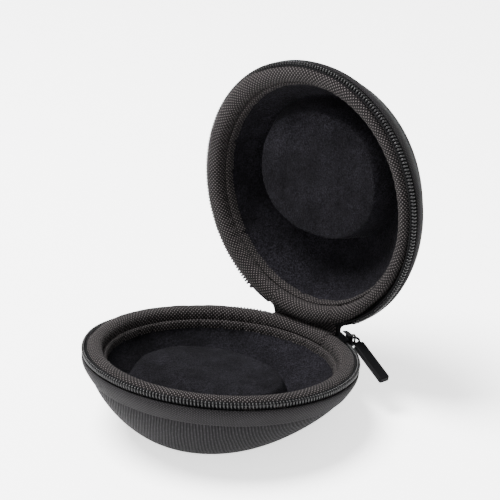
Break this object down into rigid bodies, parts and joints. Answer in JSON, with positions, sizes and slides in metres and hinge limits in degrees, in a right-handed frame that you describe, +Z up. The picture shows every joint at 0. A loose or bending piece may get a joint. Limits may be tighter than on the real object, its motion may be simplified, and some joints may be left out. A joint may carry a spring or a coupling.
{
  "type": "headphone carrying case",
  "caption": "Round hinged hard-shell carrying case with fabric cover, velour lining, moulded islands, perimeter zipper with slider and pull, standing open.",
  "frame": {"origin": "centre of the flat base of the lower half, on the surface it stands on", "axes": "+Z up, +Y towards the hinge, +X to the right seen from the open front; the mating plane of the lower half drops 7.2 degrees towards +Y"},
  "size_m": [0.1186, 0.1525, 0.1443],
  "materials": {
    "shell_fabric": "ribbed woven nylon, matt",
    "band_fabric": "fine plain-weave nylon, matt",
    "rim_fabric": "coarse ballistic weave, slight sheen",
    "velour": "short brushed pile",
    "eva_foam": "closed-cell moulded foam",
    "thread": "twisted nylon thread",
    "zipper_tape": "woven polyester tape",
    "zipper_coil": "nylon monofilament, satin",
    "slider_metal": "black enamel, satin",
    "pull_metal": "black enamel, satin"
  },
  "bodies": {
    "lower": {"lower_binding_stitches": "thread", "lower_cover": "shell_fabric", "lower_end_stops": "zipper_coil", "lower_foam_shell": "eva_foam", "lower_hinge_patch": "rim_fabric", "lower_hinge_strip": "band_fabric", "lower_island": "velour", "lower_lining": "velour", "lower_rim_band": "band_fabric", "lower_rim_binding": "rim_fabric", "lower_rim_roll": "rim_fabric", "lower_zipper_coil": "zipper_coil", "lower_zipper_tape": "zipper_tape"},
    "lid": {"lid_binding_stitches": "thread", "lid_cover": "shell_fabric", "lid_end_stops": "zipper_coil", "lid_foam_shell": "eva_foam", "lid_hinge_patch": "rim_fabric", "lid_hinge_strip": "band_fabric", "lid_island": "velour", "lid_lining": "velour", "lid_rim_band": "band_fabric", "lid_rim_binding": "rim_fabric", "lid_rim_roll": "rim_fabric", "lid_zipper_coil": "zipper_coil", "lid_zipper_tape": "zipper_tape"},
    "slider": {"slider_body": "slider_metal", "slider_bail": "slider_metal"},
    "pull": {"pull": "pull_metal"}
  },
  "joints": [
    {"name": "lid_hinge", "type": "hinge", "parent": "lower", "child": "lid", "pos_m": [0, 0.06171, 0.0294], "axis": [1, 0, 0], "range_deg": [-35, 86.9]},
    {"name": "slider_travel", "type": "hinge", "parent": "lower", "child": "slider", "pos_m": [0, 0.006, 0.032], "axis": [0, -0.1253, -0.9921], "range_deg": [0, 307]},
    {"name": "pull_swing", "type": "hinge", "parent": "slider", "child": "pull", "pos_m": [0.02793, 0.06158, 0.02498], "axis": [0, 0.1253, 0.9921], "range_deg": [-6, 150]}
  ]
}
